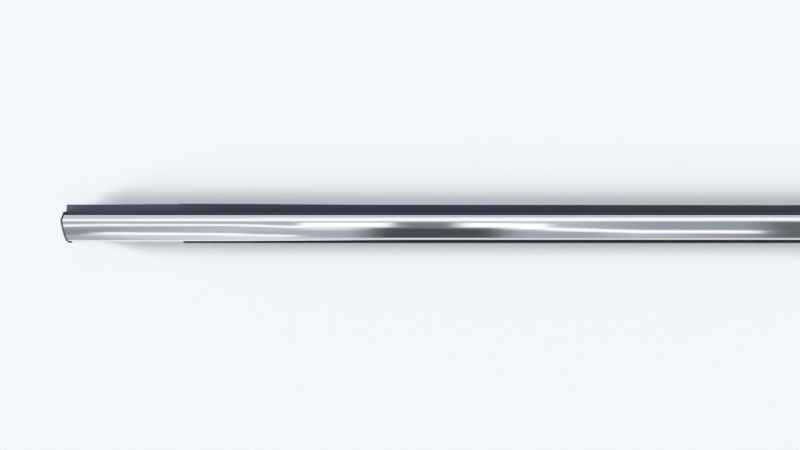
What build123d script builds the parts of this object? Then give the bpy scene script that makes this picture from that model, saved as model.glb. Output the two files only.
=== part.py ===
from build123d import *

import os
from math import cos, radians, sin, sqrt, tan

# Outer window moulding for a car door, lying on its back with the bright face up.
# It is a straight length of one constant section.
# A thin bright steel strip is folded over the outer wall of a black carrier.
# The carrier is a channel, open along one side, that pushes onto the door's upright flange.
# Soft lips on the carrier seal on the glass and on the door skin, and a cap closes each end.
#
# X runs along the length, with the raked end at -X.
# Y points to the glass edge, and Z points away from the floor.
# Sketches of the section are drawn in (across, up): across from the crest of the bright face,
# up from the floor. All sizes are in millimetres.

# Whole moulding
length = 800.0
margin = 5.0  # how far cutting shapes run past what they cut

# Bright strip
strip_thickness = 0.5
bend_radius = 0.1  # inside the strip's two tight bends
face_width = 11.75  # crest to the side under the face
face_radius = 66.0
face_apex = 5.8  # crest to the highest line of the face
hem_width = 2.1
crest_radius = 0.9
facet_angle = 40.0  # slope of the facet that falls from the crest
facet_width = 3.4
tuck_depth = 1.4

# Carrier
outer_wall = 2.0
inner_wall = 1.5
channel_gap = 6.3
back_wall = 2.1
back_reach = 5.0  # crest to the outside of the back wall
foot_radius = 0.6
shoulder_wall = 1.6
seat_radius = 0.7
groove_depth = 0.35  # between the strip's edge and the roll beside it
roll_bulge = 0.3
inner_wall_reach = 9.4  # crest to the free edge of the inner wall
barb_height = 0.5
barb_width = 1.4
rib_height = 0.35
rib_width = 0.7
rib_places = (-3.2, -1.7)

# Top lip, the flat black band beside the bright face
top_lip_reach = 9.5
top_lip_depth = 5.7  # crest down to the lip's face at its root
top_lip_droop = 0.7
top_lip_root = 1.5
top_lip_tip = 0.9
top_lip_setback = 0.8  # from each end of the moulding
top_lip_nose = 0.3
trim_depth = 0.5
trim_length = 61.7
trim_slant = 2.4

# Panel lip, the thin black line under the bright face
panel_lip_reach = 12.5
panel_lip_start = 67.7  # from the raked end of the moulding
panel_lip_thickness = 0.7
panel_lip_drop = 1.0
panel_lip_tip = 0.5
panel_lip_root = 1.4
panel_lip_wrap = 0.35  # thickness where it wraps the side of the strip
panel_lip_lap = 0.65  # how far it laps over the side, seen from above

# Glass lips, under the inner wall
glass_lip_drop = 3.3
glass_lip_root = 1.5
glass_lip_tip = 1.1
glass_lip_sweep = 4.4
glass_lip_bow = 0.45  # each way, off the straight line from root to tip
glass_lip_setback = 4.5  # from each end of the moulding
upper_glass_lip_root = 0.4
lower_glass_lip_root = -9.2

# End caps
cap_thickness = 1.1
cap_proud = 0.12
cap_clearance = 0.1
rake_radius = 60.0
rake_centre = 10.0  # crest to the centre of the raked end's arc
cap_corner_radius = 0.8
plug_length = 13.0
plug_width = 7.0
socket_depth = 0.4  # plug and carrier, past the seat
tab_length = 2.0
tab_thickness = 0.55
tab_height = 1.8

# Heights that follow from the walls
inner_wall_top = glass_lip_drop + inner_wall
outer_wall_underside = inner_wall_top + channel_gap
crest_height = outer_wall_underside + outer_wall + strip_thickness
hem_underside = outer_wall_underside - strip_thickness
top_lip_height = crest_height - top_lip_depth

# Places and bends that follow from the sizes above
side = -face_width
hem_edge = hem_width - face_width
seat = back_reach - back_wall
half_length = length / 2
crest_y = (panel_lip_reach - top_lip_reach) / 2  # both lips reach equally far from the origin
facet_slope = tan(radians(facet_angle))
outer_bend = bend_radius + strip_thickness
side_radius = outer_wall + strip_thickness  # the side is one bend round the outer wall
shoulder_depth = strip_thickness + shoulder_wall


def section_plane(x):
    """The plane of the section at x, drawn in (across, up)."""
    return Plane(origin=(x, crest_y, 0), x_dir=(0, 1, 0), z_dir=(1, 0, 0))


def face_height(across, depth=0.0):
    """Height of the bright face's arc, or of one at a depth below it."""
    centre = crest_height - sqrt(face_radius**2 - face_apex**2)
    return centre + sqrt((face_radius - depth) ** 2 - (across + face_apex) ** 2)


def facet_height(across, depth=0.0):
    """Height of the facet's line, or of one at a depth below it."""
    return crest_height - across * facet_slope - depth / cos(radians(facet_angle))


def facet_across(up, depth=0.0):
    """Where the facet's line, or one at a depth below it, reaches a height."""
    return (crest_height - up - depth / cos(radians(facet_angle))) / facet_slope


def off_facet(across, depth):
    """The point at a depth square below the facet."""
    across_in = across - depth * sin(radians(facet_angle))
    return (across_in, facet_height(across) - depth * cos(radians(facet_angle)))


def corner_at(builder, point):
    """The corner of an outline that lies nearest to a point."""
    return builder.vertices().sort_by_distance((*point, 0))[0]


def strip_section():
    """The folded strip: hem, side, face, facet and the edge tucked into the carrier."""
    hem_corner = (side, hem_underside)
    side_corner = (side, face_height(side))
    crest = (0, crest_height)
    facet_corner = off_facet(facet_width, 0)
    with BuildSketch(mode=Mode.PRIVATE) as outline:
        with BuildLine() as fold:
            Line((hem_edge, hem_underside), hem_corner)
            Line(hem_corner, side_corner)
            ThreePointArc(side_corner, (side / 2, face_height(side / 2)), crest)
            Line(crest, facet_corner)
            Line(facet_corner, off_facet(facet_width, tuck_depth))
            fillet(corner_at(fold, hem_corner), outer_bend)
            fillet(corner_at(fold, side_corner), side_radius)
            fillet(corner_at(fold, crest), crest_radius)
            fillet(corner_at(fold, facet_corner), outer_bend)
            offset(amount=strip_thickness, side=Side.RIGHT)
        make_face()
    return outline.sketch


def closed_section(proud=0.0):
    """Strip and carrier as one outline, with the channel's open side closed."""
    hem_corner = (side, hem_underside)
    side_corner = (side, face_height(side))
    crest = (0, crest_height)
    roll_corner = (back_reach, facet_height(back_reach))
    foot_corner = (back_reach, glass_lip_drop)
    free_corner = (-inner_wall_reach, glass_lip_drop)
    with BuildSketch(mode=Mode.PRIVATE) as outline:
        with BuildLine():
            Polyline(side_corner, hem_corner, free_corner, foot_corner, roll_corner, crest)
            ThreePointArc(crest, (side / 2, face_height(side / 2)), side_corner)
        make_face()
        fillet(corner_at(outline, side_corner), side_radius)
        fillet(corner_at(outline, crest), crest_radius)
        fillet(corner_at(outline, roll_corner), back_wall / 2)
        fillet(corner_at(outline, foot_corner), foot_radius)
        if proud:
            offset(amount=proud)
    return outline.sketch


def carrier_section():
    """The channel, without the grips inside it."""
    half = strip_thickness / 2  # the outline runs inside the strip, which is then cut away
    crest_in = (-half * tan(radians(facet_angle / 2)), crest_height - half)
    hem_corner = (side + half, hem_underside + half)
    side_corner = (side + half, face_height(side + half, half))
    face_middle = (side / 2, face_height(side / 2, half))
    groove = off_facet(facet_width, groove_depth)
    roll_end = (back_reach, facet_height(back_reach, groove_depth))
    roll_top = off_facet((facet_width + back_reach) / 2, groove_depth - roll_bulge)
    foot_corner = (back_reach, glass_lip_drop)
    seat_foot = (seat, inner_wall_top)
    with BuildSketch(mode=Mode.PRIVATE) as outline:
        with BuildLine():
            Polyline(
                roll_end,
                foot_corner,
                (-inner_wall_reach, glass_lip_drop),
                (-inner_wall_reach, hem_underside + half),
                hem_corner,
                side_corner,
            )
            ThreePointArc(side_corner, face_middle, crest_in)
            Polyline(crest_in, off_facet(facet_width - half, half), groove)
            ThreePointArc(groove, roll_top, roll_end)
        make_face()
        fillet(corner_at(outline, foot_corner), foot_radius)
        fillet(corner_at(outline, side_corner), side_radius - half)
        add(strip_section(), mode=Mode.SUBTRACT)
        with BuildSketch(mode=Mode.PRIVATE) as pocket:
            with BuildLine():
                Polyline(
                    (side - margin, inner_wall_top),
                    seat_foot,
                    (seat, facet_height(seat, shoulder_depth)),
                    (facet_across(outer_wall_underside, shoulder_depth), outer_wall_underside),
                    (side - margin, outer_wall_underside),
                    close=True,
                )
            make_face()
            fillet(corner_at(pocket, seat_foot), seat_radius)
        add(pocket.sketch, mode=Mode.SUBTRACT)
    return outline.sketch


def rake_x(across, depth=0.0):
    """Where the raked end, or an arc at a depth inside it, lies along the length."""
    furthest = sqrt(rake_radius**2 - (rake_centre - back_reach) ** 2)
    arc = sqrt((rake_radius - depth) ** 2 - (rake_centre - across) ** 2)
    return furthest - half_length - arc


def plan(depth, low, high, corner=0.0):
    """Plan of the moulding at a depth inside both its ends, between two lines along it."""
    middle = (low + high) / 2
    low_corner = (rake_x(low, depth), crest_y + low)
    high_corner = (rake_x(high, depth), crest_y + high)
    with BuildSketch(mode=Mode.PRIVATE) as outline:
        with BuildLine():
            ThreePointArc(low_corner, (rake_x(middle, depth), crest_y + middle), high_corner)
            Polyline(
                high_corner,
                (half_length - depth, crest_y + high),
                (half_length - depth, crest_y + low),
                low_corner,
            )
        make_face()
        if corner:
            fillet(corner_at(outline, low_corner), corner)
    return outline.sketch


def cap_section():
    """Outline of a cap's plate, with the tab that wraps the side of the strip."""
    with BuildSketch(mode=Mode.PRIVATE) as outline:
        add(closed_section(cap_proud))
        add(side_shell(tab_thickness, side_radius, tab_height))
    return outline.sketch


def side_shell(thickness, width, height):
    """A shell round the side of the strip, up from its hem and in from its side."""
    with BuildSketch(mode=Mode.PRIVATE) as outline:
        add(closed_section(thickness))
        add(closed_section(), mode=Mode.SUBTRACT)
        with Locations((side - margin, hem_underside)):
            reach = margin + width
            Rectangle(reach, height, align=(Align.MIN, Align.MIN), mode=Mode.INTERSECT)
    return outline.sketch


def socket_section(room=0.0):
    """Extra depth cut into the seat for a cap's plug, or the plug's own part with room round it."""
    top = facet_height(seat, shoulder_depth + room)
    with BuildSketch(mode=Mode.PRIVATE) as outline:
        with Locations((seat + socket_depth - room, inner_wall_top + room)):
            height = top - inner_wall_top - room
            Rectangle(back_wall, height, align=(Align.MAX, Align.MIN))
    return outline.sketch


def plug_section():
    """The plug that a cap pushes into the channel, under the ribs."""
    low = inner_wall_top + cap_clearance
    high = outer_wall_underside - rib_height - cap_clearance
    depth = shoulder_depth + cap_clearance
    inner = seat - plug_width
    with BuildSketch(mode=Mode.PRIVATE) as outline:
        with BuildLine():
            Polyline(
                (inner, low),
                (seat, low),
                (seat, facet_height(seat, depth)),
                (facet_across(high, depth), high),
                (inner, high),
                close=True,
            )
        make_face()
        add(socket_section(cap_clearance))
    return outline.sketch


def glass_lip_section(root):
    """A lip that curves from its root on the inner wall to its tip on the glass."""
    tip = root + glass_lip_sweep
    near_middle = ((root + tip) / 2 - glass_lip_bow, glass_lip_drop / 2 - glass_lip_bow)
    far_middle = (near_middle[0] + (glass_lip_root + glass_lip_tip) / 2, near_middle[1])
    root_far = (root + glass_lip_root, glass_lip_drop)
    tip_far = (tip + glass_lip_tip, 0)
    with BuildSketch(mode=Mode.PRIVATE) as outline:
        with BuildLine():
            ThreePointArc((root, glass_lip_drop), near_middle, (tip, 0))
            Line((tip, 0), tip_far)
            ThreePointArc(tip_far, far_middle, root_far)
            Line(root_far, (root, glass_lip_drop))
        make_face()
    return outline.sketch


os.makedirs("parts", exist_ok=True)
floor = Plane.XY.offset(-margin)
cut_height = crest_height + 2 * margin
end_depth = cap_thickness + cap_clearance  # moulding's end to where strip and carrier stop

with BuildPart() as bright_strip:
    with BuildSketch(section_plane(-half_length)):
        add(strip_section())
    extrude(amount=length)
    with BuildSketch(floor):
        add(plan(end_depth, side - margin, back_reach + margin))
    extrude(amount=cut_height, mode=Mode.INTERSECT)
bright_strip.part.label = "bright_strip"
export_step(bright_strip.part, "parts/bright_strip.step")

with BuildPart() as carrier:
    with BuildSketch(section_plane(-half_length)):
        add(carrier_section())
        for place in rib_places:
            with BuildLine():
                Polyline(
                    (place - rib_width / 2, outer_wall_underside),
                    (place + rib_width / 2, outer_wall_underside),
                    (place + rib_width / 2, outer_wall_underside - rib_height),
                    close=True,
                )
            make_face()
        with BuildLine():
            Polyline(
                (-inner_wall_reach, inner_wall_top),
                (barb_width - inner_wall_reach, inner_wall_top),
                (barb_width - inner_wall_reach, inner_wall_top + barb_height),
                close=True,
            )
        make_face()
    extrude(amount=length)
    with BuildSketch(floor):
        add(plan(end_depth, side - margin, back_reach + margin))
    extrude(amount=cut_height, mode=Mode.INTERSECT)
    for end, inward in ((-half_length, 1), (half_length, -1)):
        with BuildSketch(section_plane(end)):
            add(socket_section())
        extrude(amount=inward * (plug_length + cap_clearance), mode=Mode.SUBTRACT)
carrier.part.label = "carrier"
export_step(carrier.part, "parts/carrier.step")

with BuildPart() as top_lip:
    with BuildSketch(section_plane(top_lip_setback - half_length)):
        with BuildLine():
            Polyline(
                (back_reach, top_lip_height),
                (top_lip_reach, top_lip_height - top_lip_droop),
                (top_lip_reach, top_lip_height - top_lip_droop - top_lip_tip),
                (back_reach, top_lip_height - top_lip_root),
                close=True,
            )
        nose = make_face()
        fillet(nose.vertices().group_by(Axis.X)[-1], top_lip_nose)
    extrude(amount=length - 2 * top_lip_setback)
    with BuildSketch(floor):
        trim_end = top_lip_setback + trim_length - half_length
        trim_edge = crest_y + top_lip_reach
        with BuildLine():
            Polyline(
                (-half_length, trim_edge - trim_depth),
                (trim_end, trim_edge - trim_depth),
                (trim_end + trim_slant, trim_edge),
                (trim_end + trim_slant, trim_edge + margin),
                (-half_length, trim_edge + margin),
                close=True,
            )
        make_face()
    extrude(amount=cut_height, mode=Mode.SUBTRACT)
top_lip.part.label = "top_lip"
export_step(top_lip.part, "parts/top_lip.step")

with BuildPart() as panel_lip:
    with BuildSketch(section_plane(panel_lip_start - half_length)):
        add(side_shell(panel_lip_wrap, panel_lip_lap, crest_height - hem_underside))
        root_low = hem_underside - panel_lip_thickness
        tip_high = hem_underside - panel_lip_drop
        with BuildLine():
            Polyline(
                (hem_edge, outer_wall_underside),
                (hem_edge, hem_underside),
                (side - panel_lip_wrap, hem_underside),
                (-panel_lip_reach, tip_high),
                (-panel_lip_reach, tip_high - panel_lip_tip),
                (side + outer_bend, root_low),
                (hem_edge + panel_lip_root, root_low),
                (hem_edge + panel_lip_root, outer_wall_underside),
                close=True,
            )
        make_face()
    extrude(amount=length - panel_lip_start - tab_length - cap_clearance)
panel_lip.part.label = "panel_lip"
export_step(panel_lip.part, "parts/panel_lip.step")

with BuildPart() as upper_glass_lip:
    with BuildSketch(section_plane(glass_lip_setback - half_length)):
        add(glass_lip_section(upper_glass_lip_root))
    extrude(amount=length - 2 * glass_lip_setback)
upper_glass_lip.part.label = "upper_glass_lip"
export_step(upper_glass_lip.part, "parts/upper_glass_lip.step")

with BuildPart() as lower_glass_lip:
    with BuildSketch(section_plane(glass_lip_setback - half_length)):
        add(glass_lip_section(lower_glass_lip_root))
    extrude(amount=length - 2 * glass_lip_setback)
lower_glass_lip.part.label = "lower_glass_lip"
export_step(lower_glass_lip.part, "parts/lower_glass_lip.step")

with BuildPart() as end_cap_left:
    with BuildSketch(section_plane(-half_length)):
        add(cap_section())
    extrude(amount=plug_length)
    with BuildSketch(floor):
        add(plan(cap_thickness, side - margin, back_reach + margin))
    extrude(amount=cut_height, mode=Mode.SUBTRACT)
    with BuildSketch(section_plane(-half_length)):
        add(plug_section())
    extrude(amount=plug_length)
    with BuildSketch(section_plane(-half_length)):
        add(side_shell(tab_thickness, side_radius, tab_height))
    extrude(amount=rake_x(side) + half_length + tab_length)
    with BuildSketch(floor):
        add(plan(0, side - tab_thickness, back_reach, cap_corner_radius))
    extrude(amount=cut_height, mode=Mode.INTERSECT)
end_cap_left.part.label = "end_cap_left"
export_step(end_cap_left.part, "parts/end_cap_left.step")

with BuildPart() as end_cap_right:
    with BuildSketch(section_plane(half_length)):
        add(cap_section())
    extrude(amount=-cap_thickness)
    with BuildSketch(section_plane(half_length)):
        add(plug_section())
    extrude(amount=-plug_length)
    with BuildSketch(section_plane(half_length)):
        add(side_shell(tab_thickness, side_radius, tab_height))
    extrude(amount=-tab_length)
    with BuildSketch(floor):
        add(plan(0, side - tab_thickness, back_reach))
    extrude(amount=cut_height, mode=Mode.INTERSECT)
end_cap_right.part.label = "end_cap_right"
export_step(end_cap_right.part, "parts/end_cap_right.step")
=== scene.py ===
from math import acos, cos, pi, radians, sin, sqrt, tan

import bpy
from mathutils import Matrix, Vector
from mathutils.geometry import delaunay_2d_cdt


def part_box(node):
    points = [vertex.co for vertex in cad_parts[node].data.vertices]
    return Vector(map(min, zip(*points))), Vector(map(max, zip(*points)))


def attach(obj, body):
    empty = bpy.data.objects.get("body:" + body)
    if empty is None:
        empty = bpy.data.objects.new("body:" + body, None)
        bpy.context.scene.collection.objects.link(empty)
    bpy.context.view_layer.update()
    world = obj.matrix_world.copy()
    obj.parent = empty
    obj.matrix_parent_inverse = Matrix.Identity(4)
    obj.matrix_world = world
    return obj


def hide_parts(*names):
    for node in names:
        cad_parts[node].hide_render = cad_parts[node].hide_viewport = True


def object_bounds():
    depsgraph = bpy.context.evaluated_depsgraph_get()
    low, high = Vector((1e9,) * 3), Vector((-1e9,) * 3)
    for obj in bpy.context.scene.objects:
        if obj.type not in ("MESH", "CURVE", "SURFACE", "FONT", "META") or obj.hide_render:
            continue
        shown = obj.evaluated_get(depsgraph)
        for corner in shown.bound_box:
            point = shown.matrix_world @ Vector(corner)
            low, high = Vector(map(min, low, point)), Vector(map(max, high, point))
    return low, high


bl_info = {
    "name": "Window Moulding",
    "version": (1, 0, 0),
    "blender": (4, 5, 0),
    "location": "View3D > Sidebar > Moulding",
    "description": "A car door's outer window moulding, laid out in a small studio",
    "category": "Add Mesh",
}

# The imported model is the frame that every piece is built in: X along the length with the
# raked end at -X, Y to the glass edge, Z up from the floor, in metres.
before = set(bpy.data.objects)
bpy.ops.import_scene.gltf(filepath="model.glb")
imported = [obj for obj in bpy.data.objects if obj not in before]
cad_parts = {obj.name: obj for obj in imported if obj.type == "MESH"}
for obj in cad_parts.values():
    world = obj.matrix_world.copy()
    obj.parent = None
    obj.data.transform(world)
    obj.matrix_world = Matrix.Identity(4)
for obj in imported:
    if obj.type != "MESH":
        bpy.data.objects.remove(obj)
cad_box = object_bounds()

MM = 0.001
HALF_LENGTH = (cad_box[1].x - cad_box[0].x) / 2
PANEL_LIP_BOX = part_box("panel_lip")
TOP_LIP_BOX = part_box("top_lip")

# Fineness of the meshes
STATION = 10 * MM  # spacing of the cross sections along a piece
FILL_SPACING = 1.2 * MM  # spacing of the points inside an end face
CAP_SPACING = 0.8 * MM  # longest straight run in a cap's outline
TAB_SPACING = 0.3 * MM  # longest straight run in the tab's outline
CORNER_STEPS = 6  # facets of a rounded corner of a section
EDGE_STEPS = 4  # facets of a rounded end edge
SHARP_ANGLE = radians(32)  # an edge that turns by more is drawn sharp

# Small radii of the sections, and of the edges at the pieces' ends
DIE_CORNER = 0.1 * MM  # as sharp as a die or a mould leaves a corner
SOFT_CORNER = 0.3 * MM
RIB_CORNER = 0.06 * MM
CAP_CORNER = 0.5 * MM
PLUG_CORNER = 0.25 * MM
PLUG_EDGE = 0.2 * MM
BEAD_CORNER = 0.25 * MM
LIP_CORNER = 0.16 * MM
LIP_BEND = 0.8 * MM
TOE_CORNER = 0.05 * MM
TAB_RECESS = 0.12 * MM  # the tab's end stands back from the plate's face
TAB_END = 0.15 * MM
TOP_LIP_END = 0.15 * MM
PANEL_LIP_END = 0.06 * MM

# How the top lip's edge runs along the moulding
TRIM_EASES = (0.25, 0.875)  # the trim gets shallower between these shares of its length
FIRST_DRAW = 0.62  # share of the lip's drawing in that comes over the relax run
SLOW_DRAW = 3.6  # relax runs over which the rest comes
DRAW_FADES = 0.8  # share of the far half over which the lip comes back out


# Sizes


def size(name, description, default):
    """A length that a user would change, given here in millimetres."""
    return bpy.props.FloatProperty(
        name=name,
        description=description,
        default=default * MM,
        precision=5,
        unit="LENGTH",
    )


class MouldingStripSizes(bpy.types.PropertyGroup):
    thickness: size("Thickness", "Gauge of the bright steel strip", 0.5)
    face_width: size("Face width", "Crest to the side under the face", 11.75)
    face_radius: size("Face radius", "Radius of the bright face", 66.0)
    face_apex: size("Face apex", "Crest to the highest line of the face", 5.8)
    side_radius: size("Side radius", "Radius of the bend under the face", 2.5)
    crest_radius: size("Crest radius", "Radius of the fold between face and facet", 0.9)
    facet_width: size("Facet width", "Crest to the strip's upper edge", 3.4)
    facet_bow: size("Facet bow radius", "Radius of the facet's slight crown", 24.0)
    fold_radius: size("Fold radius", "Outside radius of the two tight folds", 0.6)
    hem_width: size("Hem width", "Width of the edge folded under the wall", 2.1)
    tuck_depth: size("Tuck depth", "Depth of the edge tucked into the carrier", 1.4)
    facet_angle: bpy.props.FloatProperty(
        name="Facet angle",
        description="Slope of the facet that falls from the crest",
        default=radians(40),
        subtype="ANGLE",
    )


class MouldingCarrierSizes(bpy.types.PropertyGroup):
    outer_wall: size("Outer wall", "Wall that the strip is folded over", 2.0)
    inner_wall: size("Inner wall", "Wall that carries the glass lips", 1.5)
    channel_gap: size("Channel gap", "Room for the door's flange", 6.3)
    back_wall: size("Back wall", "Wall between the channel and the top lip", 2.1)
    back_reach: size("Back reach", "Crest to the outside of the back wall", 5.0)
    shoulder_wall: size("Shoulder wall", "Wall under the facet", 1.6)
    foot_radius: size("Foot radius", "Outside corner under the back wall", 0.6)
    seat_radius: size("Seat radius", "Inside corner of the channel", 0.7)
    free_edge: size("Free edge", "Crest to the free edge of the inner wall", 9.4)
    groove_depth: size("Groove depth", "Groove beside the strip's edge", 0.35)
    roll_bulge: size("Roll bulge", "Crown of the roll between groove and lip", 0.3)
    barb_height: size("Barb height", "Height of the barb at the free edge", 0.5)
    barb_width: size("Barb width", "Width of the barb at the free edge", 1.4)
    rib_height: size("Rib height", "Height of the grip ribs", 0.35)
    rib_width: size("Rib width", "Width of the grip ribs", 0.7)
    outer_rib: size("Outer rib", "Crest to the rib nearer the mouth", -3.2)
    inner_rib: size("Inner rib", "Crest to the rib nearer the seat", -1.7)
    edge_radius: size("Edge radius", "Rounding of the wall's free corners", 0.2)


class MouldingLipSizes(bpy.types.PropertyGroup):
    top_reach: size("Top lip reach", "Crest to the top lip's edge", 9.5)
    top_depth: size("Top lip depth", "Crest down to the top lip's root", 5.7)
    top_droop: size("Top lip droop", "Fall of the top lip to its edge", 0.7)
    top_root: size("Top lip root", "Thickness of the top lip at its root", 1.5)
    top_tip: size("Top lip edge", "Thickness of the top lip at its edge", 0.9)
    top_nose: size("Top lip nose", "Rounding of the top lip's edge", 0.2)
    trim_depth: size("Trim depth", "How far the raked end's lip is trimmed", 0.5)
    trim_length: size("Trim length", "Length of the trimmed lip", 61.7)
    trim_slant: size("Trim slant", "Length of the slant after the trim", 2.4)
    trim_ease: bpy.props.FloatProperty(
        name="Trim ease",
        description="Share of the trim that is lost along it",
        default=0.5,
        subtype="FACTOR",
    )
    relax: size("Relax", "How far the soft lip draws in along the middle", 0.85)
    relax_run: size("Relax run", "Length over which it first draws in", 115.0)
    panel_reach: size("Panel lip reach", "Crest to the panel lip's edge", 12.5)
    panel_thickness: size("Panel lip thickness", "Thickness at its root", 0.7)
    panel_drop: size("Panel lip drop", "Fall of the panel lip to its edge", 0.5)
    panel_tip: size("Panel lip edge", "Thickness at its edge", 0.5)
    panel_root: size("Panel lip root", "Width of the bead inside the hem", 1.4)
    panel_wrap: size("Panel lip wrap", "Thickness where it wraps the strip's side", 0.35)
    lap_start: size("Lap at its start", "Lap over the side where the lip begins", 0.27)
    lap_full: size("Full lap", "Lap over the side further along", 1.06)
    lap_run: size("Lap run", "Length over which the lap grows", 140.0)
    glass_drop: size("Glass lip drop", "Height of the glass lips", 3.3)
    glass_root: size("Glass lip root", "Thickness of a glass lip at its root", 1.5)
    glass_tip: size("Glass lip tip", "Thickness of a glass lip at its tip", 1.1)
    glass_sweep: size("Glass lip sweep", "How far a glass lip leans over", 4.4)
    glass_bow: size("Glass lip bow", "Bow of a glass lip", 0.45)
    upper_root: size("Upper glass lip", "Crest to the upper glass lip's root", 0.4)
    lower_root: size("Lower glass lip", "Crest to the lower glass lip's root", -9.2)
    glass_setback: size("Glass lip setback", "From each end of the moulding", 4.5)


class MouldingCapSizes(bpy.types.PropertyGroup):
    thickness: size("Thickness", "Thickness of a cap's plate", 1.1)
    proud: size("Proud", "How far the plate stands out of the section", 0.118)
    clearance: size("Clearance", "Room round the plug and behind the plate", 0.1)
    rake_radius: size("Rake radius", "Plan radius of the raked end", 60.0)
    rake_centre: size("Rake centre", "Crest to the centre of the raked end's arc", 10.0)
    corner_radius: size("Corner radius", "Plan corner of the raked cap", 0.8)
    edge_radius: size("Edge radius", "Rounding of the plate's outer edge", 0.28)
    plug_length: size("Plug length", "How far a plug reaches into the channel", 13.0)
    plug_width: size("Plug width", "Width of a plug", 7.0)
    socket_depth: size("Socket depth", "How far a plug stands past the seat", 0.4)
    tab_length: size("Tab length", "Length of the tab beside the strip", 2.0)
    tab_thickness: size("Tab thickness", "Thickness of the tab", 0.55)
    tab_height: size("Tab height", "Height of the tab", 1.8)


def tint(name, description, default):
    """A colour that a user would change, given as an sRGB hex value."""
    return bpy.props.FloatVectorProperty(
        name=name,
        description=description,
        default=linear(default),
        size=3,
        min=0.0,
        max=1.0,
        subtype="COLOR",
    )


def linear(hex_colour):
    """Linear colour of an sRGB hex value."""
    channels = [int(hex_colour[i : i + 2], 16) / 255 for i in (1, 3, 5)]
    return [c / 12.92 if c <= 0.04045 else ((c + 0.055) / 1.055) ** 2.4 for c in channels]


class MouldingColours(bpy.types.PropertyGroup):
    steel: tint("Steel", "Rolled stainless steel", "#E6E7E9")
    carrier: tint("Carrier", "Extruded polypropylene of the carrier", "#272B3D")
    flock: tint("Flock", "Flock on the soft lips", "#31364A")
    # The bare rubber's dark grey is painted lighter than its own, as painted sheen
    rubber: tint("Rubber", "Bare rubber of the soft lips", "#474B5F")
    panel: tint("Panel lip", "Black elastomer of the panel lip", "#14151B")
    cap: tint("Cap", "Moulded nylon of the end caps", "#2D2E33")
    floor: tint("Floor", "Floor that the moulding lies on", "#F3F6FB")


class MouldingStage(bpy.types.PropertyGroup):
    camera_height: size("Camera height", "Floor to the camera", 345.6)
    camera_place: size("Camera place", "Camera's place along the moulding", -212.54)
    camera_shift: size("Camera offset", "Camera's place across the moulding", -0.95)
    lens: bpy.props.FloatProperty(
        name="Lens",
        description="Focal length on a 36 mm sensor",
        default=27.18,
        unit="CAMERA",
    )
    sky: bpy.props.FloatProperty(
        name="Sky", description="Level of the light from all round", default=0.20
    )
    key: bpy.props.FloatProperty(
        name="Key", description="Level of the lamps beyond the raked end", default=0.80
    )


# Section, in (across, up): across from the crest of the bright face, up from the floor


def polar(angle):
    """Unit vector at an angle."""
    return Vector((cos(angle), sin(angle)))


def clamped(share):
    """A share held between 0 and 1."""
    return min(max(share, 0.0), 1.0)


def eased(value, start, end):
    """Share of the way from start to end, held between 0 and 1, with gentle ends."""
    share = clamped((value - start) / (end - start))
    return share * share * (3 - 2 * share)


def rounded(corners, steps=CORNER_STEPS):
    """Closed outline through corners (across, up, radius), each with its arc."""
    outline = []
    for index, (across, up, radius) in enumerate(corners):
        corner = Vector((across, up))
        if not radius:
            outline.append(corner)
            continue
        back = (Vector(corners[index - 1][:2]) - corner).normalized()
        ahead = (Vector(corners[(index + 1) % len(corners)][:2]) - corner).normalized()
        half = back.angle(ahead) / 2
        centre = corner + (back + ahead).normalized() * radius / sin(half)
        arm = corner + back * radius / tan(half) - centre
        turn = arm.angle_signed(corner + ahead * radius / tan(half) - centre)
        for step in range(steps + 1):
            outline.append(centre + Matrix.Rotation(-turn * step / steps, 2) @ arm)
    return outline


def inset(outline, depth):
    """Each point of a closed outline, drawn anticlockwise, moved inward."""
    if not depth:
        return list(outline)
    moved = []
    for index, point in enumerate(outline):
        before = (point - outline[index - 1]).normalized()
        after = (outline[(index + 1) % len(outline)] - point).normalized()
        along = (before + after).normalized()
        inward = Vector((-along.y, along.x))
        slower = max(along.dot(after), 0.5)  # a sharp corner moves at most twice the depth
        moved.append(point + inward * depth / slower)
    return moved


def divided(outline, longest):
    """A closed outline with its long straight runs divided."""
    points = []
    for index, point in enumerate(outline):
        ahead = outline[(index + 1) % len(outline)]
        count = max(1, round((ahead - point).length / longest))
        points += [point.lerp(ahead, step / count) for step in range(count)]
    return points


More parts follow.
